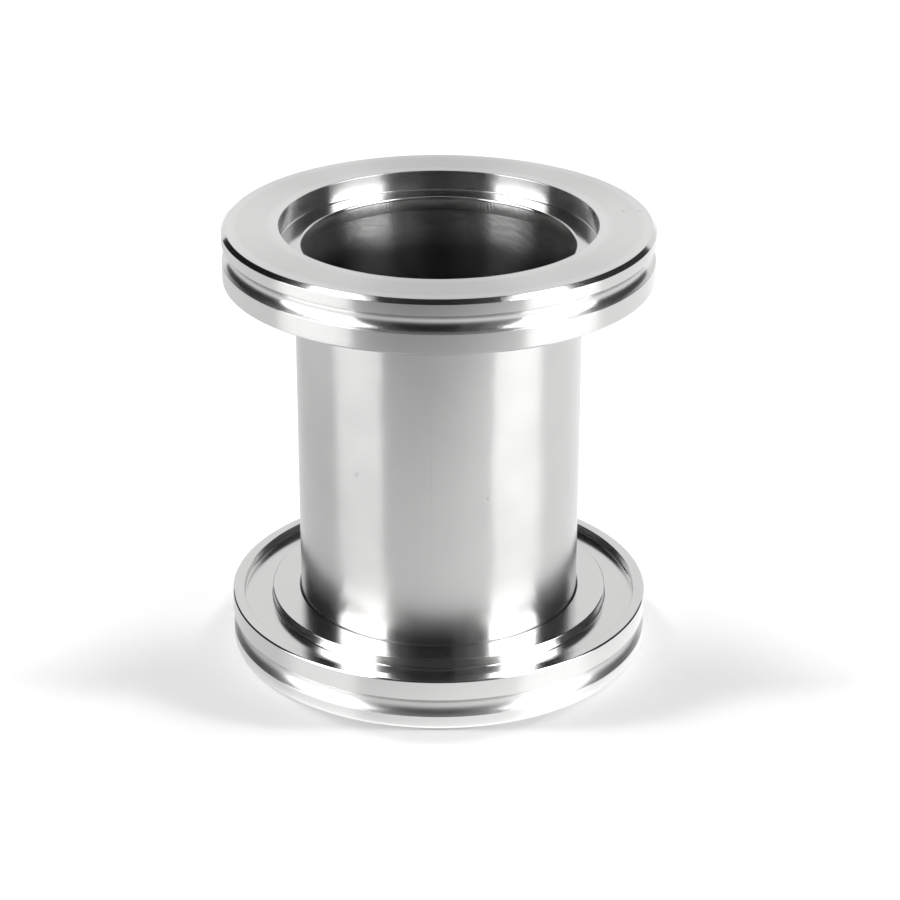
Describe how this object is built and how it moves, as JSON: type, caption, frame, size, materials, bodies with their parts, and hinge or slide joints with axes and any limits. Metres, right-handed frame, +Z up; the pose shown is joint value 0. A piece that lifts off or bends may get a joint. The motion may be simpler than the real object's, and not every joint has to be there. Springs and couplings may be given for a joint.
{
  "type": "vacuum nipple",
  "caption": "Straight stainless vacuum nipple: a thin-walled tube with a large clamp flange welded to each end.",
  "frame": {"origin": "centre of the lower sealing face, on the axis of the bore, at the foot of the part", "axes": "+Z up the bore towards the upper flange; X and Y are free, because the part is round"},
  "size_m": [0.095, 0.095, 0.1],
  "materials": {
    "polished_flange": "turned stainless steel, rims and grooves polished bright, sealing faces finely turned",
    "satin_tube": "drawn stainless steel with a satin skin and a few fine scratches",
    "weld_bead": "rippled stainless steel weld"
  },
  "bodies": {
    "root": {"lower_flange": "polished_flange", "upper_flange": "polished_flange", "tube": "satin_tube", "lower_weld_bead": "weld_bead", "upper_weld_bead": "weld_bead"}
  },
  "joints": []
}
